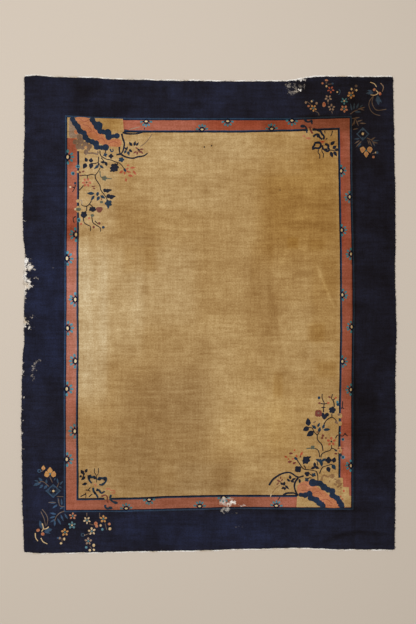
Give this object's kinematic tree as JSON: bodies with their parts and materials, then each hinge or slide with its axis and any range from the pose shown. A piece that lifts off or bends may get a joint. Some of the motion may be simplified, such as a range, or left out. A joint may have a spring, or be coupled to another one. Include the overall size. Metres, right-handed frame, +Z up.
{
  "type": "peking rug",
  "caption": "Flat hand-knotted wool rug of the Peking kind with a dark border, a coral band, a gold field with flower sprays, frayed cotton warp ends and worn patches.",
  "frame": {"origin": "on the floor under the middle of the whole rug, frayed ends included", "axes": "+Z up from the floor, +Y along the rug's length towards its top end, +X across to its right side"},
  "size_m": [2.3108, 2.9644, 0.009],
  "materials": {
    "wool_pile": "matt knotted wool pile",
    "cotton_warp": "matt undyed cotton yarn"
  },
  "bodies": {
    "root": {"rug": "wool_pile", "warp_end_top": "cotton_warp", "warp_end_bottom": "cotton_warp"}
  },
  "joints": []
}
